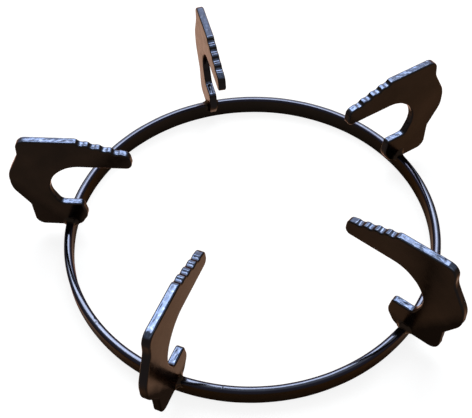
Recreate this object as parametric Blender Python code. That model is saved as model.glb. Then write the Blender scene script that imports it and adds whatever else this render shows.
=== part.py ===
"""Wok ring for a gas hob: a flat bar ring standing on edge, with five plate arms welded over it.

Metres, +Z up. The origin is on the ring's axis, on the plane of the ring's lower edge.
The first arm points along +Y and the others follow anticlockwise, seen from above.
"""

import math

import bmesh
import bpy
from mathutils import Vector

MM = 0.001

# Ring: one length of flat bar, rolled on edge and closed.
RING_MEAN_RADIUS = 92.0 * MM
BAR_THICKNESS = 4.0 * MM
BAR_HEIGHT = 10.0 * MM
BAR_EDGE_RADIUS = 1.0 * MM
RING_STEPS = 96

# Arms: equal plates, evenly spaced, each standing upright along a radius.
ARM_COUNT = 5
FIRST_ARM_DEG = 90.0
PLATE_THICKNESS = 4.0 * MM
PLATE_EDGE_RADIUS = 0.6 * MM

# Joint between an arm and the ring: the foot has a slot that drops over the bar's upper edge.
FOOT_LAP = 3.7 * MM
SLOT_CLEARANCE = 0.3 * MM

# Heights on an arm, above the underside of its foot.
TOP_HEIGHT = 59.8 * MM
TIP_TOP_HEIGHT = 51.7 * MM
UNDERSIDE_HEIGHT = 43.4 * MM
UPPER_NECK_HEIGHT = 50.3 * MM
LOBE_TOP_HEIGHT = 36.8 * MM
LOBE_LOW_HEIGHT = 27.0 * MM
LOWER_NECK_HEIGHT = 15.2 * MM
NUB_TOP_HEIGHT = 16.8 * MM
NUB_NOSE_HEIGHT = 8.0 * MM
THROAT_BACK_HEIGHT = 26.4 * MM
THROAT_BEND_HEIGHT = 36.4 * MM

# Distances on an arm, inwards from the middle of the bar.
TIP_REACH = 37.2 * MM
TIP_TOP_REACH = 36.2 * MM
KNEE_REACH = 10.9 * MM
NUB_FOOT_REACH = 5.4 * MM
NUB_NOSE_REACH = 10.3 * MM
NUB_TOP_REACH = 8.7 * MM
UNDERSIDE_END_REACH = 6.0 * MM

# Distances on an arm, outwards from the middle of the bar.
TOP_OVERHANG = 16.8 * MM
UPPER_NECK_OVERHANG = 17.5 * MM
LOBE_TOP_OVERHANG = 24.7 * MM
LOBE_LOW_OVERHANG = 24.9 * MM
LOWER_NECK_OVERHANG = 17.9 * MM
FOOT_OVERHANG = 17.6 * MM
THROAT_FLOOR_OVERHANG = 2.0 * MM
THROAT_BACK_OVERHANG = 6.5 * MM
THROAT_BEND_OVERHANG = 3.2 * MM

# Corner radii of the arm's outline.
TIP_LOW_RADIUS = 3.1 * MM
TIP_TOP_RADIUS = 3.2 * MM
KNEE_RADIUS = 2.0 * MM
TOP_CORNER_RADIUS = 5.2 * MM
UPPER_NECK_RADIUS = 10.0 * MM
LOBE_TOP_RADIUS = 14.0 * MM
LOBE_LOW_RADIUS = 12.0 * MM
LOWER_NECK_RADIUS = 4.0 * MM
FOOT_CORNER_RADIUS = 4.8 * MM
NUB_FOOT_RADIUS = 6.0 * MM
NUB_NOSE_RADIUS = 6.9 * MM
NUB_TOP_RADIUS = 2.2 * MM
THROAT_FLOOR_RADIUS = 3.0 * MM
THROAT_BACK_RADIUS = 13.0 * MM
THROAT_BEND_RADIUS = 16.0 * MM
UNDERSIDE_END_RADIUS = 16.0 * MM

# Grip grooves across the sloping upper edge, counted from the knee towards the tip.
GROOVE_START = 3.3 * MM
GROOVE_PITCH = 5.55 * MM
GROOVE_WIDTH = 3.9 * MM
GROOVE_DEPTH = 0.8 * MM
GROOVE_STEPS = 5
TIP_LAND = 6.0 * MM

# Fineness of the outline's round corners, and of the rounded plate and bar edges.
ARC_STEP_DEG = 14.0
EDGE_STEPS = 2
BAR_EDGE_STEPS = 2

ENAMEL_COLOUR = (0.020, 0.014, 0.010, 1.0)
ENAMEL_ROUGHNESS = 0.22


def clear_scene():
    for thing in list(bpy.data.objects):
        bpy.data.objects.remove(thing, do_unlink=True)


def enamel(name):
    """Dark brown vitreous enamel, fired on the steel."""
    material = bpy.data.materials.new(name)
    material.use_nodes = True
    shader = material.node_tree.nodes["Principled BSDF"]
    shader.inputs["Base Color"].default_value = ENAMEL_COLOUR
    shader.inputs["Roughness"].default_value = ENAMEL_ROUGHNESS
    shader.inputs["Metallic"].default_value = 0.0
    material.diffuse_color = ENAMEL_COLOUR
    return material


def rounded_corner(before, corner, after, radius, step_deg):
    """Points of the arc that rounds a corner, limited to half of each side next to it."""
    back = before - corner
    ahead = after - corner
    half = back.angle(ahead) / 2
    setback = radius / math.tan(half)
    setback = min(setback, back.length / 2, ahead.length / 2)
    limited = setback * math.tan(half)
    towards = (back.normalized() + ahead.normalized()).normalized()
    centre = corner + towards * (limited / math.sin(half))
    start = corner + back.normalized() * setback - centre
    end = corner + ahead.normalized() * setback - centre
    turn = start.angle_signed(end)
    steps = max(1, math.ceil(abs(turn) / math.radians(step_deg) - 0.01))
    first = math.atan2(start.y, start.x)
    points = []
    for k in range(steps + 1):
        angle = first - turn * k / steps
        points.append(centre + limited * Vector((math.cos(angle), math.sin(angle))))
    return points


def rounded_outline(corners, step_deg):
    """Closed outline through (x, y, radius) corners. A radius of zero keeps the corner sharp."""
    outline = []
    for k, (x, y, radius) in enumerate(corners):
        corner = Vector((x, y))
        if radius == 0:
            outline.append(corner)
            continue
        before = Vector(corners[k - 1][:2])
        after = Vector(corners[(k + 1) % len(corners)][:2])
        outline.extend(rounded_corner(before, corner, after, radius, step_deg))
    return outline


def groove_corners(knee, tip):
    """Corners of the round grooves across the slope, from the knee to the tip."""
    knee = Vector(knee)
    slope = Vector(tip) - knee
    along = slope.normalized()
    inwards = Vector((-along.y, along.x))
    count = 1 + max(0, int((slope.length - GROOVE_START - TIP_LAND) / GROOVE_PITCH))
    half = GROOVE_WIDTH / 2
    radius = (half**2 + GROOVE_DEPTH**2) / (2 * GROOVE_DEPTH)
    spread = math.asin(half / radius)
    corners = []
    for k in range(count):
        middle = knee + along * (GROOVE_START + k * GROOVE_PITCH)
        for step in range(GROOVE_STEPS + 1):
            angle = spread * (2 * step / GROOVE_STEPS - 1)
            depth = radius * math.cos(angle) - (radius - GROOVE_DEPTH)
            point = middle + along * radius * math.sin(angle) + inwards * depth
            corners.append((point.x, point.y, 0))
    return corners


def slot_corners():
    """Corners of the slot that takes the bar, from its inner lip to its outer one."""
    half = BAR_THICKNESS / 2 + SLOT_CLEARANCE
    roof = FOOT_LAP + SLOT_CLEARANCE
    return [(-half, 0, 0), (-half, roof, 0), (half, roof, 0), (half, 0, 0)]


def arm_outline():
    """Side view of an arm: x runs outwards from the middle of the bar, y up from the foot.

    It starts at the knee and goes along the grooves to the tip, back under the arm, down
    the throat, round the nub, along the foot and up the outer side.
    """
    knee = (-KNEE_REACH, TOP_HEIGHT)
    tip = (-TIP_TOP_REACH, TIP_TOP_HEIGHT)
    corners = [(*knee, KNEE_RADIUS)]
    corners += groove_corners(knee, tip)
    corners += [
        (*tip, TIP_TOP_RADIUS),
        (-TIP_REACH, UNDERSIDE_HEIGHT, TIP_LOW_RADIUS),
        (-UNDERSIDE_END_REACH, UNDERSIDE_HEIGHT, UNDERSIDE_END_RADIUS),
        (THROAT_BEND_OVERHANG, THROAT_BEND_HEIGHT, THROAT_BEND_RADIUS),
        (THROAT_BACK_OVERHANG, THROAT_BACK_HEIGHT, THROAT_BACK_RADIUS),
        (THROAT_FLOOR_OVERHANG, NUB_TOP_HEIGHT, THROAT_FLOOR_RADIUS),
        (-NUB_TOP_REACH, NUB_TOP_HEIGHT, NUB_TOP_RADIUS),
        (-NUB_NOSE_REACH, NUB_NOSE_HEIGHT, NUB_NOSE_RADIUS),
        (-NUB_FOOT_REACH, 0, NUB_FOOT_RADIUS),
    ]
    corners += slot_corners()
    corners += [
        (FOOT_OVERHANG, 0, FOOT_CORNER_RADIUS),
        (LOWER_NECK_OVERHANG, LOWER_NECK_HEIGHT, LOWER_NECK_RADIUS),
        (LOBE_LOW_OVERHANG, LOBE_LOW_HEIGHT, LOBE_LOW_RADIUS),
        (LOBE_TOP_OVERHANG, LOBE_TOP_HEIGHT, LOBE_TOP_RADIUS),
        (UPPER_NECK_OVERHANG, UPPER_NECK_HEIGHT, UPPER_NECK_RADIUS),
        (TOP_OVERHANG, TOP_HEIGHT, TOP_CORNER_RADIUS),
    ]
    return rounded_outline(corners, ARC_STEP_DEG)


def finished_mesh(name, shape, material):
    """Mesh data from the bmesh, with its faces outwards, smooth but for its real edges."""
    bmesh.ops.recalc_face_normals(shape, faces=shape.faces[:])
    mesh = bpy.data.meshes.new(name)
    shape.to_mesh(mesh)
    shape.free()
    mesh.materials.append(material)
    mesh.shade_smooth()
    mesh.set_sharp_from_angle(angle=math.radians(40))
    return mesh


def arm_mesh():
    """Plate of the arm's outline, lying across y = 0, with its outline edges rounded."""
    shape = bmesh.new()
    half = PLATE_THICKNESS / 2
    corners = [shape.verts.new((p.x, half, p.y)) for p in arm_outline()]
    side = shape.faces.new(corners)
    made = bmesh.ops.extrude_face_region(shape, geom=[side], use_keep_orig=True)
    moved = [item for item in made["geom"] if isinstance(item, bmesh.types.BMVert)]
    bmesh.ops.translate(shape, verts=moved, vec=(0, -PLATE_THICKNESS, 0))
    rims = [e for e in shape.edges if abs(e.verts[0].co.y - e.verts[1].co.y) < half]
    bmesh.ops.bevel(
        shape,
        geom=rims,
        offset=PLATE_EDGE_RADIUS,
        segments=EDGE_STEPS,
        profile=0.5,
        affect="EDGES",
        clamp_overlap=False,
    )
    return finished_mesh("arm", shape, enamel("arm_enamel"))


def ring_mesh():
    """Bar section, rounded at its four edges and spun round the Z axis."""
    inner = RING_MEAN_RADIUS - BAR_THICKNESS / 2
    outer = RING_MEAN_RADIUS + BAR_THICKNESS / 2
    section = rounded_outline(
        [
            (inner, 0, BAR_EDGE_RADIUS),
            (outer, 0, BAR_EDGE_RADIUS),
            (outer, BAR_HEIGHT, BAR_EDGE_RADIUS),
            (inner, BAR_HEIGHT, BAR_EDGE_RADIUS),
        ],
        90 / BAR_EDGE_STEPS,
    )
    shape = bmesh.new()
    corners = [shape.verts.new((p.x, 0, p.y)) for p in section]
    loop = [shape.edges.new((corners[k - 1], corners[k])) for k in range(len(corners))]
    bmesh.ops.spin(
        shape,
        geom=corners + loop,
        cent=(0, 0, 0),
        axis=(0, 0, 1),
        angle=math.tau,
        steps=RING_STEPS,
        use_merge=True,
    )
    return finished_mesh("ring", shape, enamel("ring_enamel"))


def place(name, mesh, parent, location, turn):
    thing = bpy.data.objects.new(name, mesh)
    bpy.context.collection.objects.link(thing)
    thing.parent = parent
    thing.location = location
    thing.rotation_euler = (0, 0, turn)
    return thing


def build():
    clear_scene()
    base = place("wok_ring", None, None, (0, 0, 0), 0)
    place("ring", ring_mesh(), base, (0, 0, 0), 0)
    mesh = arm_mesh()
    for k in range(ARM_COUNT):
        turn = math.radians(FIRST_ARM_DEG) + math.tau * k / ARM_COUNT
        foot = Vector((math.cos(turn), math.sin(turn), 0)) * RING_MEAN_RADIUS
        foot.z = BAR_HEIGHT - FOOT_LAP
        place(f"arm_{k + 1}", mesh, base, foot, turn)


build()
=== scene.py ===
import math

import bpy
import numpy as np
from mathutils import Matrix, Vector


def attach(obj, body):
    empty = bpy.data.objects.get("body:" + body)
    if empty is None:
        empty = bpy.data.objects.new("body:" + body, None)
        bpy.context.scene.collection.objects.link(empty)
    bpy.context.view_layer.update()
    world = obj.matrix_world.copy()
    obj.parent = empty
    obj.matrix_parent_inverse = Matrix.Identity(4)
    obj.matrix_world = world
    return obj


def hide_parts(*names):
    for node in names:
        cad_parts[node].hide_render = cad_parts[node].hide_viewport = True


# Wok ring for a gas hob, dressed over its CAD parts. Metres, +Z up, ring axis on Z.

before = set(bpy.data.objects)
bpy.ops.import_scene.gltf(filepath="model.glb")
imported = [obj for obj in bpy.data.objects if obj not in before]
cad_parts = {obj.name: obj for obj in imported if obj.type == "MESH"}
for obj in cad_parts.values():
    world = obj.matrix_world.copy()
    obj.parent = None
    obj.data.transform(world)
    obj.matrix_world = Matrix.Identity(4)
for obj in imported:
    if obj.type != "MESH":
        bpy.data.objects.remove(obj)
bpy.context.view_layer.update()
print("frame loaded:", ", ".join(sorted(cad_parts)))


# The camera looks down at the ring from the side opposite to arm_1.
cameraView = {
    "elevation": 50.2617,   # degrees above the table
    "turn": -11.95,         # degrees about Z
    "roll": 2.4792,
    "distance": 0.44373,    # from the middle of the ring
    "slideRight": -0.00794,
    "slideDown": -0.01391,
    "lens": 66.23, "sensorWidth": 36,
    "clipStart": 0.01, "clipEnd": 20,
}


def makeCamera(v):
    el, roll = math.radians(v["elevation"]), math.radians(v["roll"])
    forward = Vector((0, math.cos(el), -math.sin(el)))
    right = Vector((1, 0, 0))
    down = forward.cross(right)
    rolledRight = right * math.cos(roll) + down * math.sin(roll)
    rolledDown = down * math.cos(roll) - right * math.sin(roll)
    place = rolledRight * v["slideRight"] + rolledDown * v["slideDown"] - forward * v["distance"]
    axes = Matrix((rolledRight, -rolledDown, -forward)).transposed().to_4x4()
    data = bpy.data.cameras.new("camera")
    data.lens, data.sensor_width = v["lens"], v["sensorWidth"]
    data.clip_start, data.clip_end = v["clipStart"], v["clipEnd"]
    cam = bpy.data.objects.new("camera", data)
    bpy.context.scene.collection.objects.link(cam)
    cam.matrix_world = Matrix.Rotation(math.radians(v["turn"]), 4, "Z") @ Matrix.Translation(place) @ axes
    bpy.context.scene.camera = cam


makeCamera(cameraView)
print("camera placed")


def gridFaces(rows, columns, closedRows, closedColumns, start=0):
    # Quads of a grid whose vertex (i, j) is number i * columns + j; a closed way wraps round.
    i = np.arange(rows if closedRows else rows - 1)[:, None]
    j = np.arange(columns if closedColumns else columns - 1)[None, :]
    ni, nj = (i + 1) % rows, (j + 1) % columns
    quads = np.stack([i * columns + j, ni * columns + j, ni * columns + nj, i * columns + nj], axis=-1)
    return quads.reshape(-1, 4) + start


def gridUv(along, across, closedAcross):
    # One (along, across) pair for each corner of each quad of gridFaces, without a jump at the seam.
    # The way along is always closed.
    a = np.append(along, 2 * along[-1] - along[-2])
    c = np.append(across, 2 * across[-1] - across[-2]) if closedAcross else across
    a0, c0 = np.meshgrid(a[:-1], c[:-1], indexing="ij")
    a1, c1 = np.meshgrid(a[1:], c[1:], indexing="ij")
    corners = [np.stack(pair, -1) for pair in ((a0, c0), (a1, c0), (a1, c1), (a0, c1))]
    return np.stack(corners, axis=2).reshape(-1, 2)


def surfaceObject(name, points, faces, material, uv=None, masks=None):
    # A smooth mesh object at the origin, made of closed shells with their faces pointing outwards.
    # The grid's quads come first in faces, and uv is for them. A mask is one value for each vertex.
    mesh = bpy.data.meshes.new(name)
    mesh.from_pydata(points.tolist(), [], faces)
    mesh.materials.append(material)
    if uv is not None:
        layer = mesh.uv_layers.new(name="strip")
        full = np.zeros((len(mesh.loops), 2), np.float32)
        full[:len(uv)] = uv
        layer.data.foreach_set("uv", full.ravel())
    for label, values in (masks or {}).items():
        layer = mesh.attributes.new(label, "FLOAT", "POINT")
        layer.data.foreach_set("value", np.asarray(values, np.float32).ravel())
    mesh.shade_smooth()
    mesh.calc_loop_triangles()
    corners = np.empty(len(mesh.loop_triangles) * 3, np.int32)
    mesh.loop_triangles.foreach_get("vertices", corners)
    a, b, c = points[corners.reshape(-1, 3)].transpose(1, 0, 2)
    if np.einsum("ij,ij->i", a, np.cross(b, c)).sum() < 0:
        mesh.flip_normals()
    mesh.update()
    thing = bpy.data.objects.new(name, mesh)
    bpy.context.scene.collection.objects.link(thing)
    return thing


def ripples(seed, shortest, longest, count=24):
    # Seeded sum of plane waves in 2 or 3 coordinates: the waves' lengths run from shortest to longest,
    # and the sum has about unit spread.
    rng = np.random.default_rng(seed)
    way = rng.normal(size=(count, 3))
    way /= np.linalg.norm(way, axis=1)[:, None]
    length = shortest * (longest / shortest) ** rng.random(count)
    phase = rng.random(count) * math.tau
    weight = (length / longest) ** 0.5

    def value(p):
        p = np.asarray(p, float)
        angle = p @ (way[:, :p.shape[-1]] * (math.tau / length)[:, None]).T + phase
        return (np.sin(angle) * weight).sum(-1) / math.sqrt((weight ** 2).sum() / 2)
    return value


def drawnIn(ripple):
    # How many times its depth a surface is drawn in: 1.5 + ripple, kept from 0 to 4, so never outwards.
    return np.clip(1.5 + ripple, 0, 4)


def roundedLine(corners, perCorner=28):
    # Closed line through (x, y, radius) corners: each corner becomes an arc tangent to both sides next to it.
    c = np.asarray(corners, float)
    xy, radius = c[:, :2], c[:, 2]
    back, ahead = np.roll(xy, 1, 0) - xy, np.roll(xy, -1, 0) - xy
    backLong, aheadLong = np.linalg.norm(back, axis=1), np.linalg.norm(ahead, axis=1)
    back, ahead = back / backLong[:, None], ahead / aheadLong[:, None]
    half = np.arccos(np.clip((back * ahead).sum(1), -1, 1)) / 2
    setback = np.minimum(radius / np.tan(half), np.minimum(backLong, aheadLong) / 2)
    arc = setback * np.tan(half)
    middle = back + ahead
    middle /= np.linalg.norm(middle, axis=1)[:, None]
    centre = xy + middle * (arc / np.sin(half))[:, None]
    start, end = xy + back * setback[:, None] - centre, xy + ahead * setback[:, None] - centre
    turn = np.arctan2(start[:, 0] * end[:, 1] - start[:, 1] * end[:, 0], (start * end).sum(1))
    angle = np.arctan2(start[:, 1], start[:, 0])[:, None] + turn[:, None] * np.linspace(0, 1, perCorner)
    circle = np.stack([np.cos(angle), np.sin(angle)], -1)
    return (centre[:, None] + arc[:, None, None] * circle).reshape(-1, 2)


def evenLine(line, step):
    # The closed line again, with its points an equal distance apart along it, and their distances along it.
    closed = np.vstack([line, line[:1]])
    far = np.concatenate([[0], np.cumsum(np.linalg.norm(np.diff(closed, axis=0), axis=1))])
    count = int(round(far[-1] / step))
    at = np.linspace(0, far[-1], count, endpoint=False)
    return np.stack([np.interp(at, far, closed[:, k]) for k in (0, 1)], -1), at


def outward(line):
    # Unit normals of a closed line, pointing away from what it encloses.
    along = np.roll(line, -1, 0) - np.roll(line, 1, 0)
    along /= np.linalg.norm(along, axis=1)[:, None]
    area = (line[:, 0] * np.roll(line[:, 1], -1) - line[:, 1] * np.roll(line[:, 0], -1)).sum()
    return np.stack([along[:, 1], -along[:, 0]], -1) * (1 if area > 0 else -1)


def blurred(values, step, spread):
    # Bell-shaped average along a closed row of values, cut off at 4 spreads.
    reach = int(4 * spread / step) + 1
    bell = np.exp(-0.5 * (np.arange(-reach, reach + 1) * step / spread) ** 2)
    return np.convolve(np.concatenate([values[-reach:], values, values[:reach]]), bell / bell.sum(), "valid")


def eased(value, low, high):
    # 0 below low, 1 above high, and a smooth rise between them.
    t = np.clip((value - low) / (high - low), 0, 1)
    return t * t * (3 - 2 * t)


def newGroup(name, inputs, outputs):
    # A node group with sockets given as name: kind, what comes into it, and what it has to put out.
    group = bpy.data.node_groups.new(name, "ShaderNodeTree")
    for way, sockets in (("INPUT", inputs), ("OUTPUT", outputs)):
        for label, kind in sockets.items():
            group.interface.new_socket(name=label, in_out=way, socket_type="NodeSocket" + kind)
    return group, group.nodes.new("NodeGroupInput").outputs, group.nodes.new("NodeGroupOutput").inputs


def addNode(tree, kind, settings=None, **inputs):
    # A node with its settings. Each input, by name or as i0, i1 and so on, is linked or given a value.
    node = tree.nodes.new(kind)
    for key, value in (settings or {}).items():
        setattr(node, key, value)
    for key, value in inputs.items():
        name = key.replace("_", " ")
        socket = node.inputs[int(name[1:])] if name[0] == "i" and name[1:].isdigit() else node.inputs[name]
        if isinstance(value, bpy.types.NodeSocket):
            tree.links.new(value, socket)
        else:
            socket.default_value = value
    return node


def maths(tree, what, a, b, clamp=False):
    return addNode(tree, "ShaderNodeMath", {"operation": what, "use_clamp": clamp}, i0=a, i1=b).outputs[0]


def spreadOut(tree, value, low, high, toLow, toHigh):
    # low becomes toLow, high becomes toHigh, and a value beyond them stays at the nearer one.
    return addNode(tree, "ShaderNodeMapRange", Value=value, From_Min=low, From_Max=high,
                   To_Min=toLow, To_Max=toHigh).outputs[0]


def mixColour(tree, factor, a, b):
    return addNode(tree, "ShaderNodeMix", {"data_type": "RGBA"}, i0=factor, i6=a, i7=b).outputs[2]


def noise(tree, where, v, **inputs):
    return addNode(tree, "ShaderNodeTexNoise", Vector=where, **v, **inputs).outputs["Fac"]


def maskOf(tree, name):
    # A mask that surfaceObject stored on the mesh; it is 0 on a piece without it.
    return addNode(tree, "ShaderNodeAttribute", {"attribute_name": name}).outputs["Fac"]


glazeTexture = {            # noise scales are per metre
    "drift": {"Detail": 3.0, "Roughness": 0.55}, "driftThick": 0.38, "driftThin": 0.66,
    "peel": {"Detail": 2.5, "Roughness": 0.5},
    "cloud": {"Scale": 220.0, "Detail": 4.0, "Roughness": 0.6}, "cloudInColour": 0.5,
    "cloudSmooth": 0.3, "cloudRough": 0.7,
    "pitScale": 310.0, "pitBottom": 0.03, "pitRim": 0.12, "pitRarity": 0.86, "pitRoughness": 0.3,
}


def makeGlazeGroup(v):
    # Fired enamel: slow colour drift where the coat is thick or thin, orange peel, and a few pinholes.
    # mottled is (cloud - 0.5) * cloudInColour, and not below 0.
    group, given, out = newGroup("firedGlaze", {
        "Place": "Vector", "Thick Colour": "Color", "Thin Colour": "Color", "Drift Size": "Float",
        "Peel Size": "Float", "Smoothest": "Float", "Roughest": "Float", "Pinholes": "Float",
    }, {"Colour": "Color", "Roughness": "Float", "Height": "Float"})
    place = given["Place"]
    drift = noise(group, place, v["drift"], Scale=maths(group, "DIVIDE", 1.0, given["Drift Size"]))
    peel = noise(group, place, v["peel"], Scale=maths(group, "DIVIDE", 1.0, given["Peel Size"]))
    cloud = noise(group, place, v["cloud"])
    pits = addNode(group, "ShaderNodeTexVoronoi", {"feature": "F1"}, Vector=place, Scale=v["pitScale"])
    thin = spreadOut(group, drift, v["driftThick"], v["driftThin"], 0.0, 1.0)
    mottled = addNode(group, "ShaderNodeMath", {"operation": "MULTIPLY_ADD", "use_clamp": True},
                      i0=cloud, i1=v["cloudInColour"], i2=-v["cloudInColour"] / 2).outputs[0]
    share = maths(group, "ADD", thin, mottled, clamp=True)
    group.links.new(mixColour(group, share, given["Thick Colour"], given["Thin Colour"]), out["Colour"])
    rough = spreadOut(group, cloud, v["cloudSmooth"], v["cloudRough"], given["Smoothest"], given["Roughest"])
    pitRandom = addNode(group, "ShaderNodeSeparateColor", Color=pits.outputs["Color"]).outputs[0]
    picked = maths(group, "GREATER_THAN", pitRandom, v["pitRarity"])
    hole = spreadOut(group, pits.outputs["Distance"], v["pitBottom"], v["pitRim"], 1.0, 0.0)
    hole = maths(group, "MULTIPLY", maths(group, "MULTIPLY", hole, picked), given["Pinholes"])
    dulled = maths(group, "ADD", rough, maths(group, "MULTIPLY", hole, v["pitRoughness"]))
    group.links.new(dulled, out["Roughness"])
    group.links.new(maths(group, "SUBTRACT", peel, hole), out["Height"])
    return group


wrinkleTexture = {
    "fold": {"Scale": 1.0, "Detail": 2.0, "Roughness": 0.55, "Distortion": 0.6},
    "grit": {"Detail": 2.0, "Roughness": 0.6},
    "streak": {"Scale": 1.0, "Detail": 3.0, "Roughness": 0.6},
    "streakLonger": 2.0, "streakNarrower": 1.4, "streakLevel": 3.7,     # against a fold
}


def makeWrinkleGroup(v):
    # Enamel drawn over a cut edge: wrinkles that are longer along the edge than across it, with grit
    # between them, and streaks that run the same way.
    group, given, out = newGroup("edgeWrinkle", {
        "Strip": "Vector", "Place": "Vector", "Length": "Float", "Width": "Float",
        "Grit Size": "Float", "Grit Share": "Float",
    }, {"Height": "Float", "Streak": "Float", "Grit": "Float"})
    apart = addNode(group, "ShaderNodeSeparateXYZ", Vector=given["Strip"]).outputs
    along = maths(group, "DIVIDE", apart[0], given["Length"])
    across = maths(group, "DIVIDE", apart[1], given["Width"])
    fold = noise(group, addNode(group, "ShaderNodeCombineXYZ", X=along, Y=across).outputs[0], v["fold"])
    grit = noise(group, given["Place"], v["grit"], Scale=maths(group, "DIVIDE", 1.0, given["Grit Size"]))
    stretched = addNode(group, "ShaderNodeCombineXYZ",
                        X=maths(group, "DIVIDE", along, v["streakLonger"]),
                        Y=maths(group, "MULTIPLY", across, v["streakNarrower"]),
                        Z=v["streakLevel"]).outputs[0]
    added = maths(group, "MULTIPLY", grit, given["Grit Share"])
    group.links.new(maths(group, "ADD", fold, added), out["Height"])
    group.links.new(noise(group, stretched, v["streak"]), out["Streak"])
    group.links.new(grit, out["Grit"])
    return group


glazeGroup = makeGlazeGroup(glazeTexture)
wrinkleGroup = makeWrinkleGroup(wrinkleTexture)

armEnamel = {
    "thick": (0.0080, 0.0062, 0.0051, 1), "thin": (0.0148, 0.0098, 0.0073, 1),
    "driftSize": 0.030, "peelSize": 0.0022, "smoothest": 0.18, "roughest": 0.27,
    "pinholes": 0.35, "peelDepth": 0.012,
    # A painted tan reflection at a low angle, in place of brown surroundings. The coat reflects nothing and
    # only warms it.
    "paintedTanReflection": (0.71, 0.60, 0.54, 1),                   # tan at a low angle
    "coat": 0.6, "coatTint": (1.0, 0.92, 0.85, 1), "coatRoughness": 0.12, "coatIor": 1.0,
    "edge": (0.0095, 0.0082, 0.0085, 1), "edgeRoughness": 0.13,
    # Painted highlight on the upward cut edges: a cool bright colour, brighter painted glints in the grit,
    # and streaks that dim it as far as dullest.
    "paintedHighlight": (0.040, 0.056, 0.098, 1), "dullest": 0.6, "streakDull": 0.40, "streakBright": 0.60,
    "paintedGlint": (0.077, 0.100, 0.155, 1), "paintedGlintFrom": 0.52, "paintedGlintFull": 0.68,
    "wrinkleLength": 0.0040, "wrinkleWidth": 0.0016, "gritSize": 0.0013, "gritShare": 0.3,
    "wrinkleDepth": 0.038, "bumpUnit": 0.001,           # depths are in bump units
    # Painted shade: a dark, dull colour low on the faces, below a level that rises outside the ring.
    "paintedShade": (0.0118, 0.0082, 0.0067, 1), "shadeBelow": 0.006, "shadeAbove": 0.015,
    "shadeReach": 0.0930, "shadeSlope": 1.25, "shadeRag": 0.008,
    "shadeNoise": {"Scale": 110.0, "Detail": 3.0, "Roughness": 0.6},
}
ringEnamel = dict(
    # a weaker painted tan reflection on the ring
    armEnamel, smoothest=0.15, roughest=0.24, paintedTanReflection=(0.59, 0.505, 0.455, 1),
    edge=(0.010, 0.013, 0.030, 1), edgeRoughness=0.10,
    # the ring's painted highlight and painted glint colours
    paintedHighlight=(0.042, 0.050, 0.072, 1), dullest=0.85, paintedGlint=(0.052, 0.061, 0.087, 1),
    wrinkleLength=0.020, wrinkleWidth=0.0030, gritShare=0.20, wrinkleDepth=0.010,
    # the ring's painted shade colour and levels
    paintedShade=(0.0200, 0.0152, 0.0124, 1), shadeBelow=0.001, shadeAbove=0.017, shadeRag=0.004)


def makePaintedShade(tree, where, v):
    # How much painted shade darkens and dulls the glaze: all of it low down, below a level that rises with
    # the distance outside the ring, where the ring's side and the shadowed table would be mirrored. The mask
    # on the mesh is the most a piece has.
    flat = addNode(tree, "ShaderNodeVectorMath", {"operation": "MULTIPLY"}, i0=where, i1=(1, 1, 0)).outputs[0]
    reach = addNode(tree, "ShaderNodeVectorMath", {"operation": "LENGTH"}, i0=flat).outputs["Value"]
    outside = maths(tree, "MAXIMUM", maths(tree, "SUBTRACT", reach, v["shadeReach"]), 0.0)
    level = addNode(tree, "ShaderNodeSeparateXYZ", Vector=where).outputs[2]
    level = maths(tree, "SUBTRACT", level, maths(tree, "MULTIPLY", outside, v["shadeSlope"]))
    ragged = maths(tree, "SUBTRACT", noise(tree, where, v["shadeNoise"]), 0.5)
    level = maths(tree, "ADD", level, maths(tree, "MULTIPLY", ragged, v["shadeRag"]))
    share = spreadOut(tree, level, v["shadeBelow"], v["shadeAbove"], 1.0, 0.0)
    return maths(tree, "MULTIPLY", share, maskOf(tree, "paintedShade"))


def placeGroup(tree, group, v, values, **links):
    # The group in a material: the inputs named in values take v's values, and the rest are linked.
    node = addNode(tree, "ShaderNodeGroup", {"node_tree": group}, **links)
    for socket, key in values.items():
        node.inputs[socket].default_value = v[key]
    return node.outputs


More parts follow.
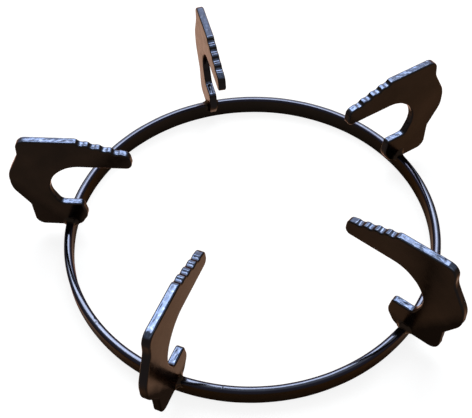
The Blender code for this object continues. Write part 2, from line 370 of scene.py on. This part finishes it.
def makeEnamel(name, v):
    # Dark brown glaze, with a painted tan reflection at a low angle. On the cut edges, where the mask "cut"
    # is 1, it is thin and smooth, with wrinkles as deep as the mask "wrinkled" says, and it has a cool,
    # bright painted highlight, with painted glints, where the highlight mask is 1. Low down, painted shade
    # darkens and dulls it.
    material = bpy.data.materials.new(name)
    material.use_nodes = True
    tree = material.node_tree
    shader = tree.nodes["Principled BSDF"].inputs
    place = tree.nodes.new("ShaderNodeTexCoord").outputs
    glaze = placeGroup(tree, glazeGroup, v, {
        "Thick Colour": "thick", "Thin Colour": "thin", "Drift Size": "driftSize", "Peel Size": "peelSize",
        "Smoothest": "smoothest", "Roughest": "roughest", "Pinholes": "pinholes"}, Place=place["Object"])
    wrinkle = placeGroup(tree, wrinkleGroup, v, {
        "Length": "wrinkleLength", "Width": "wrinkleWidth", "Grit Size": "gritSize",
        "Grit Share": "gritShare"}, Strip=place["UV"], Place=place["Object"])
    cut, paintedHighlight = maskOf(tree, "cut"), maskOf(tree, "paintedHighlight")
    streak = spreadOut(tree, wrinkle["Streak"], v["streakDull"], v["streakBright"], v["dullest"], 1.0)
    paintedGlint = spreadOut(tree, wrinkle["Grit"], v["paintedGlintFrom"], v["paintedGlintFull"], 0.0, 1.0)
    # The painted highlight: the cool bright colour with painted glints, dimmed in streaks, laid over the edge
    # colour by the highlight mask.
    bright = mixColour(tree, paintedGlint, v["paintedHighlight"], v["paintedGlint"])
    edgeColour = mixColour(tree, maths(tree, "MULTIPLY", paintedHighlight, streak), v["edge"], bright)
    clean = mixColour(tree, cut, glaze["Colour"], edgeColour)
    # Painted shade, kept off the painted highlight: darker and matt low down.
    bare = maths(tree, "SUBTRACT", 1.0, maths(tree, "MULTIPLY", cut, paintedHighlight))
    paintedShade = maths(tree, "MULTIPLY", makePaintedShade(tree, place["Object"], v), bare)
    tree.links.new(mixColour(tree, paintedShade, clean, v["paintedShade"]), shader["Base Color"])
    tree.links.new(maths(tree, "SUBTRACT", 1.0, paintedShade), shader["Metallic"])
    rough = addNode(tree, "ShaderNodeMix", {"data_type": "FLOAT"}, i0=cut, i2=glaze["Roughness"],
                    i3=v["edgeRoughness"])
    tree.links.new(rough.outputs[0], shader["Roughness"])
    peel = maths(tree, "MULTIPLY", glaze["Height"], v["peelDepth"])
    folds = maths(tree, "MULTIPLY", maths(tree, "MULTIPLY", wrinkle["Height"], v["wrinkleDepth"]),
                  maskOf(tree, "wrinkled"))
    bump = addNode(tree, "ShaderNodeBump", Strength=1.0, Distance=v["bumpUnit"],
                   Height=maths(tree, "ADD", peel, folds))
    tree.links.new(bump.outputs[0], shader["Normal"])
    shader["Specular IOR Level"].default_value = 0.0
    # Painted tan reflection: grazing reflections are tinted tan, and the coat, which reflects nothing, warms
    # them.
    shader["Specular Tint"].default_value = v["paintedTanReflection"]
    shader["Coat Weight"].default_value = v["coat"]
    shader["Coat Roughness"].default_value = v["coatRoughness"]
    shader["Coat IOR"].default_value = v["coatIor"]
    shader["Coat Tint"].default_value = v["coatTint"]
    material.diffuse_color = v["thick"]
    return material


armMaterial = makeEnamel("enamelArms", armEnamel)
ringMaterial = makeEnamel("enamelRing", ringEnamel)
print("materials made")


ringBar = {
    "radius": 0.0920, "thickness": 0.0040, "height": 0.0100, "edge": 0.0013,
    "crown": 0.00048, "crownRadius": 0.0042,
    "around": 1152, "sectionStep": 0.00030,
    "wave": 0.000020, "rippleSeed": 5, "rippleLengths": (0.006, 0.040), "rippleSqueeze": 2.0,
    "cutFrom": 0.2, "cutFull": 0.6,                     # upward part of the normal where "cut" rises
    # The ring's painted highlight is kept to the rim's crown, between these tilts, where the lamps'
    # reflection would lie.
    "highlightInside": (-15, -7), "highlightOutside": (9, 21),  # degrees from upright where "shine" rises and falls
    "paintedShade": 0.85,           # the most painted shade
    "marks": [             # azimuth, length along the bar, height: the butt weld, and a drip in the glaze
        (203.3, 0.0011, 0.00010), (204.6, 0.0008, -0.00007),
        (248.2, 0.0005, 0.00009), (247.4, 0.0004, -0.00006)],
}


def makeRing(v):
    # The bar's section, with a crowned upper rim, turned round Z. It is drawn in by wave * drawnIn(ripple),
    # and each mark adds height * upward * exp(-(distance / length)^2), which is most on the rim.
    r, t, h, e, c = v["radius"], v["thickness"] / 2, v["height"], v["edge"], v["crown"]
    corners = [(r - t, 0, e), (r + t, 0, e), (r + t, h - c, e), (r, h, v["crownRadius"]), (r - t, h - c, e)]
    section, across = evenLine(roundedLine(corners), v["sectionStep"])
    section[:, 1] *= h / section[:, 1].max()
    normal = outward(section)
    angle = np.linspace(0, math.tau, v["around"], endpoint=False)
    along = angle * r
    size = (len(angle), len(section))
    circle = np.stack([np.cos(angle), np.sin(angle)], -1) * r
    where = np.concatenate([np.broadcast_to(circle[:, None], size + (2,)),
                            np.broadcast_to((across * v["rippleSqueeze"])[None, :, None], size + (1,))], -1)
    shift = -v["wave"] * drawnIn(ripples(v["rippleSeed"], *v["rippleLengths"])(where))
    upward = np.clip(normal[None, :, 1], 0, 1)
    for azimuth, long, high in v["marks"]:
        away = (along - math.radians(azimuth) * r)[:, None]
        shift = shift + high * upward * np.exp(-(away / long) ** 2)
    reach = section[None, :, 0] + shift * normal[None, :, 0]
    level = section[None, :, 1] + shift * normal[None, :, 1]
    points = np.stack([reach * np.cos(angle)[:, None], reach * np.sin(angle)[:, None], level], -1)
    points = points.reshape(-1, 3)
    faces = gridFaces(*size, True, True)
    cut = np.tile(eased(normal[:, 1], v["cutFrom"], v["cutFull"]), len(angle))
    tilt = np.degrees(np.arctan2(normal[:, 0], normal[:, 1]))
    # Painted highlight on the rim's crown.
    paintedHighlight = np.tile(eased(tilt, *v["highlightInside"]) * (1 - eased(tilt, *v["highlightOutside"])), len(angle))
    # The ring's masks. Its painted shade is the same all round.
    ring = surfaceObject("ringBar", points, faces.tolist(), ringMaterial, gridUv(along, across, True),
                         {"cut": cut, "wrinkled": cut, "paintedHighlight": paintedHighlight, "paintedShade": np.full(len(cut), v["paintedShade"])})
    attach(ring, "root")
    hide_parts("ring")


makeRing(ringBar)
print("ring made")


armPlate = {
    "count": 5, "firstAngle": 90.0, "ringRadius": ringBar["radius"], "footHeight": 0.0063,
    "thickness": 0.0040, "edge": 0.00090,
    "corners": [            # x outwards from the middle of the bar, y up from the foot, corner radius
        (0.0176, 0, 0.0048), (0.0179, 0.0152, 0.0040), (0.0249, 0.0270, 0.0120),
        (0.0247, 0.0368, 0.0140), (0.0175, 0.0503, 0.0100), (0.0168, 0.0598, 0.0052),
        (-0.0109, 0.0598, 0.0020), (-0.0362, 0.0517, 0.0032), (-0.0372, 0.0434, 0.0031),
        (-0.0060, 0.0434, 0.0160), (0.0032, 0.0364, 0.0160), (0.0065, 0.0264, 0.0130),
        (0.0020, 0.0168, 0.0030), (-0.0087, 0.0168, 0.0022), (-0.0103, 0.0080, 0.0069),
        (-0.0054, 0, 0.0060)],
    "knee": (-0.0109, 0.0598), "tip": (-0.0362, 0.0517),        # ends of the grooved slope
    "grooveStart": 0.0033, "groovePitch": 0.00555, "grooveWidth": 0.0039, "grooveDepth": 0.0008,
    "grooveCount": 4, "grooveLip": 0.00025,
    "grooveBand": 0.0006,   # only points this near the slope's line are grooved
    "lineStep": 0.00022, "edgeSteps": 8, "flatSteps": 8,
    "capLap": 0.00018,      # flat rim between a face and the rounding
    "wrinkle": 0.000022, "rippleSeed": 40, "rippleLengths": (0.0022, 0.0065), "rippleSqueeze": 2.0,
    "dish": 0.00004,
    # The last two: where the painted highlight on the cut edges rises with the upward part of their normal.
    "cutFrom": 0.2, "cutFull": 0.7, "highlightFrom": 0.72, "highlightFull": 0.90,
    "stripShift": 0.37,     # from one arm to the next, so that their wrinkles differ
    # The most painted shade and the wrinkle depth for each arm.
    "paintedShade": [0.0, 0.5, 0.9, 0.8, 0.2], "wrinkled": [1.0, 1.2, 0.5, 1.2, 1.0],     # arm_1 to arm_5
}


def placedOnRing(v, number, out, across, height):
    # Points given outwards from the middle of the bar, across the plate and above the table, turned to
    # the arm's place on the ring.
    out, across, height = np.broadcast_arrays(out, across, height)
    angle = math.radians(v["firstAngle"] + 360 / v["count"] * number)
    reach = v["ringRadius"] + out
    return np.stack([reach * math.cos(angle) - across * math.sin(angle),
                     reach * math.sin(angle) + across * math.cos(angle), height], -1).reshape(-1, 3)


def armLine(v):
    # The side view's closed line, distances along it, its normals, and how deep the round grooves sink
    # into its slope at each point.
    line, far = evenLine(roundedLine(v["corners"]), v["lineStep"])
    normal = outward(line)
    knee, tip = np.array(v["knee"]), np.array(v["tip"])
    slope = (tip - knee) / np.linalg.norm(tip - knee)
    away = line - knee
    along, off = away @ slope, np.abs(away[:, 0] * slope[1] - away[:, 1] * slope[0])
    half, deep = v["grooveWidth"] / 2, v["grooveDepth"]
    radius = (half ** 2 + deep ** 2) / (2 * deep)
    middle = v["grooveStart"] + np.arange(v["grooveCount"]) * v["groovePitch"]
    apart = np.abs(along[:, None] - middle)
    sunk = np.sqrt(np.clip(radius ** 2 - apart ** 2, 0, None)) - (radius - deep)
    sunk = np.clip(sunk, 0, None).max(1) * (off < v["grooveBand"])
    return line, far, normal, blurred(sunk, far[1], v["grooveLip"])


def armStrip(v):
    # Across the plate, from one flat face over the rounded cut edge to the other: the inset from the line,
    # the place across the thickness, and how far the surface faces the way of the line's normal.
    half, e = v["thickness"] / 2, v["edge"]
    turn = np.linspace(0, math.pi / 2, v["edgeSteps"])
    inset = np.concatenate([[e + v["capLap"]], e * (1 - np.sin(turn))])
    side = np.concatenate([[half], half - e * (1 - np.cos(turn))])
    facing = np.concatenate([[0], np.sin(turn)])
    level = np.linspace(half - e, -(half - e), v["flatSteps"] + 2)[1:-1]
    return (np.concatenate([inset, np.zeros(len(level)), inset[::-1]]),
            np.concatenate([side, level, -side[::-1]]),
            np.concatenate([facing, np.ones(len(level)), facing[::-1]]))


def makeArm(v, number):
    # The strip carried round the line; the two flat faces close it. Its cut edge is drawn in by
    # wrinkle * wrinkled * facing * drawnIn(ripple), and dished by dish * (1 - (place / half width)^2).
    # The grooves sink the whole strip.
    line, far, normal, sunk = armLine(v)
    inset, side, facing = armStrip(v)
    rows, columns = len(line), len(inset)
    where = np.stack(np.broadcast_arrays(far[:, None], (side * v["rippleSqueeze"])[None, :]), -1)
    ripple = ripples(v["rippleSeed"] + number, *v["rippleLengths"])(where)
    drawn = v["wrinkle"] * v["wrinkled"][number] * facing * drawnIn(ripple)
    drawn = drawn + v["dish"] * np.clip(1 - (side / (v["thickness"] / 2 - v["edge"] / 2)) ** 2, 0, 1)
    flat = line[:, None] - normal[:, None] * (inset[None, :] + sunk[:, None] + drawn)[..., None]
    up = outward(line - normal * sunk[:, None])[:, 1]
    points = placedOnRing(v, number, flat[..., 0], side[None, :], v["footHeight"] + flat[..., 1])
    faces = gridFaces(rows, columns, True, False)
    first = np.arange(rows) * columns
    caps = [first.tolist()[::-1], (first + columns - 1).tolist()]
    distance = np.concatenate([[0], np.cumsum(np.hypot(np.diff(inset), np.diff(side)))])
    cut = np.tile(eased(facing, v["cutFrom"], v["cutFull"]), rows)
    masks = {"cut": cut, "wrinkled": cut * v["wrinkled"][number],
             # painted highlight where the cut edge faces up
             "paintedHighlight": eased(up[:, None] * facing, v["highlightFrom"], v["highlightFull"]),
             # painted shade, the most for this arm
             "paintedShade": np.full(rows * columns, v["paintedShade"][number])}
    arm = surfaceObject("armPlate%d" % (number + 1), points, faces.tolist() + caps, armMaterial,
                        gridUv(far + number * v["stripShift"], distance, False), masks)
    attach(arm, "root")
    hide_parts("arm_%d" % (number + 1))


for number in range(armPlate["count"]):
    makeArm(armPlate, number)
print("arms made")


weldFillet = {
    "leg": 0.0020, "leastLeg": 0.00002, "sink": 0.0004, "endShare": 0.10,
    "lumps": 0.16, "rippleSeed": 90, "rippleLengths": (0.0016, 0.006),
    "from": 0.0058,         # lowest point on the bar's sides
    "sideSteps": 20, "cornerSteps": 16, "alongSteps": 90, "arcSteps": 12,
}


def makeWeld(bar, arm, v, number):
    # Two concave beads in the corners between the plate and the bar. A bead's path goes up one side of the
    # bar's section, over the top and down the other. Across the path it is a quarter circle that is tangent
    # to both, and its leg shrinks to almost nothing at the two ends.
    t, h, e = bar["thickness"] / 2, bar["height"], bar["edge"]
    quarter = np.linspace(0, math.pi / 2, v["cornerSteps"])
    rise = np.linspace(v["from"], h - e, v["sideSteps"])
    path = np.concatenate([
        np.stack([np.full(len(rise), -t), rise], -1),
        np.stack([-t + e - e * np.cos(quarter), h - e + e * np.sin(quarter)], -1)[1:],
        np.stack([t - e + e * np.sin(quarter), h - e + e * np.cos(quarter)], -1),
        np.stack([np.full(len(rise), t), np.linspace(h - e, v["from"], v["sideSteps"])], -1)[1:]])
    far = np.concatenate([[0], np.cumsum(np.linalg.norm(np.diff(path, axis=0), axis=1))])
    at = np.linspace(0, far[-1], v["alongSteps"])
    path = np.stack([np.interp(at, far, path[:, k]) for k in (0, 1)], -1)
    along = np.gradient(path, axis=0)
    along /= np.linalg.norm(along, axis=1)[:, None]
    normal = np.stack([-along[:, 1], along[:, 0]], -1)
    share = at / far[-1]
    ends = np.clip(np.minimum(share, 1 - share) / v["endShare"], 0, 1)
    turn = np.linspace(0, math.pi / 2, v["arcSteps"])[None, :]
    points, faces, start = [], [], 0
    for side in (1, -1):
        ripple = ripples(v["rippleSeed"] + 2 * number + (side > 0), *v["rippleLengths"])
        lump = 1 + v["lumps"] * ripple(np.stack([at, np.zeros_like(at)], -1))
        leg = (v["leg"] * lump * np.sqrt(np.sin(ends * math.pi / 2)) + v["leastLeg"])[:, None]
        under = np.full_like(leg, -v["sink"])
        off = np.concatenate([leg * (1 - np.sin(turn)), under, under], 1)
        up = np.concatenate([leg * (1 - np.cos(turn)), leg, under], 1)
        flat = path[:, None] + normal[:, None] * up[..., None]
        across = side * (arm["thickness"] / 2 + off)
        flat, across = flat[:, ::side], across[:, ::side]       # so that the mirrored bead faces outwards too
        rows, columns = across.shape
        points.append(placedOnRing(arm, number, flat[..., 0], across, flat[..., 1]))
        faces += gridFaces(rows, columns, False, True, start).tolist()
        last = start + (rows - 1) * columns
        faces += [list(range(start, start + columns)), list(range(last, last + columns))[::-1]]
        start += rows * columns
    weld = surfaceObject("weld%d" % (number + 1), np.concatenate(points), faces, armMaterial)
    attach(weld, "root")


for number in range(armPlate["count"]):
    makeWeld(ringBar, armPlate, weldFillet, number)
print("welds made")


studio = {
    "floorSize": 40.0, "floorColour": (0.30, 0.30, 0.30, 1), "floorGlow": 0.85,
    "white": (1, 1, 1, 1), "fillColour": (0.96, 0.98, 1.0, 1), "fillStrength": 0.22,
    # name, azimuth from +Y towards +X, elevation, distance, width, height, radiance, colour, and "matt" for
    # a lamp that lights only matt surfaces or "gloss" for one that shows only in reflections
    "lamps": [
        ("softbox", 12, 51, 1.4, 1.60, 0.95, 3.9, (0.93, 0.97, 1.0), "matt"),
        ("overhead", 70, 84, 1.2, 0.60, 0.40, 1.6, (1.0, 0.99, 0.98), "matt"),
        ("wideCard", 8, 36, 1.4, 1.60, 1.13, 2.9, (0.93, 0.97, 1.0), "gloss"),
        ("highlightCard", 6, 55, 1.4, 1.10, 0.42, 9.5, (0.93, 0.97, 1.0), "gloss"),
        ("leftCard", -19, 64, 1.4, 0.42, 0.26, 9.0, (0.93, 0.97, 1.0), "gloss"),
    ],
}


def seenWhite(tree):
    # 1 for the rays that show the background: from the camera, in a reflection, and through glass.
    light = tree.nodes.new("ShaderNodeLightPath").outputs
    seen = maths(tree, "MAXIMUM", light["Is Camera Ray"], light["Is Glossy Ray"])
    return maths(tree, "MAXIMUM", seen, light["Is Transmission Ray"])


def makeFloor(v):
    half = v["floorSize"] / 2
    corners = [(-half, -half, 0), (half, -half, 0), (half, half, 0), (-half, half, 0)]
    mesh = bpy.data.meshes.new("floor")
    mesh.from_pydata(corners, [], [(0, 1, 2, 3)])
    floor = bpy.data.objects.new("floor", mesh)
    bpy.context.scene.collection.objects.link(floor)
    material = bpy.data.materials.new("paperFloor")
    material.use_nodes = True
    tree = material.node_tree
    shader = tree.nodes["Principled BSDF"].inputs
    shader["Base Color"].default_value = v["floorColour"]
    shader["Roughness"].default_value = 1.0
    shader["Specular IOR Level"].default_value = 0.0
    shader["Emission Color"].default_value = v["white"]
    tree.links.new(maths(tree, "MULTIPLY", seenWhite(tree), v["floorGlow"]), shader["Emission Strength"])
    mesh.materials.append(material)


def makeWorld(v):
    world = bpy.data.worlds.new("studio")
    bpy.context.scene.world = world
    world.use_nodes = True
    tree = world.node_tree
    tree.nodes.clear()
    fill = addNode(tree, "ShaderNodeBackground", Color=v["fillColour"], Strength=v["fillStrength"])
    white = addNode(tree, "ShaderNodeBackground", Color=v["white"], Strength=1.0)
    mixed = addNode(tree, "ShaderNodeMixShader", i0=seenWhite(tree), i1=fill.outputs[0], i2=white.outputs[0])
    addNode(tree, "ShaderNodeOutputWorld", Surface=mixed.outputs[0])


def makeLamps(v):
    # Flat lamps that face the ring's axis at the table. The energy is radiance * pi * area.
    for name, azimuth, elevation, distance, wide, high, radiance, colour, lit in v["lamps"]:
        data = bpy.data.lights.new(name, "AREA")
        data.shape, data.size, data.size_y = "RECTANGLE", wide, high
        data.energy, data.color = radiance * math.pi * wide * high, colour
        lamp = bpy.data.objects.new(name, data)
        bpy.context.scene.collection.objects.link(lamp)
        lamp.visible_diffuse, lamp.visible_glossy = lit == "matt", lit == "gloss"
        a, el = math.radians(azimuth), math.radians(elevation)
        away = Vector((math.sin(a) * math.cos(el), math.cos(a) * math.cos(el), math.sin(el)))
        lamp.location = away * distance
        lamp.rotation_mode = "QUATERNION"
        lamp.rotation_quaternion = away.to_track_quat("Z", "Y")


makeFloor(studio)
makeWorld(studio)
makeLamps(studio)
bpy.context.scene.view_settings.view_transform = "Standard"
print("studio made")
